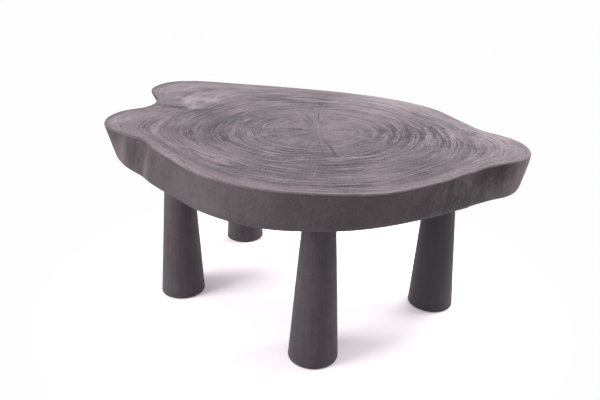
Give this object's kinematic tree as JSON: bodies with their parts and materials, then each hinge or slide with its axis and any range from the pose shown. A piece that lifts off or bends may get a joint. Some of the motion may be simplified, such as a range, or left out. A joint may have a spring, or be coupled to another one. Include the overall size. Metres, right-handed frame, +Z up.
{
  "type": "coffee table",
  "caption": "Low coffee table: a thick cross-cut trunk slab with its natural live edge on tapered round legs, in matte charcoal-black wood.",
  "frame": {"origin": "on the floor, below the middle of the slab's box", "axes": "+Z up, +X to the right and +Y to the back as seen from the side of the front leg"},
  "size_m": [0.8664, 0.851, 0.4],
  "materials": {
    "slab_wood": "matte charcoal stain over brushed end grain",
    "leg_wood": "matte charcoal stain over turned wood",
    "bolt_steel": "zinc plated",
    "insert_brass": "plain machined",
    "glide_nylon": "moulded black",
    "screw_steel": "zinc plated"
  },
  "bodies": {
    "root": {"slab": "slab_wood", "leg_front": "leg_wood", "leg_left": "leg_wood", "leg_right": "leg_wood", "leg_back": "leg_wood", "hanger_bolt_front": "bolt_steel", "hanger_bolt_left": "bolt_steel", "hanger_bolt_right": "bolt_steel", "hanger_bolt_back": "bolt_steel", "threaded_insert_front": "insert_brass", "threaded_insert_left": "insert_brass", "threaded_insert_right": "insert_brass", "threaded_insert_back": "insert_brass", "foot_glide_front": "glide_nylon", "foot_glide_left": "glide_nylon", "foot_glide_right": "glide_nylon", "foot_glide_back": "glide_nylon", "glide_screw_front": "screw_steel", "glide_screw_left": "screw_steel", "glide_screw_right": "screw_steel", "glide_screw_back": "screw_steel"}
  },
  "joints": []
}
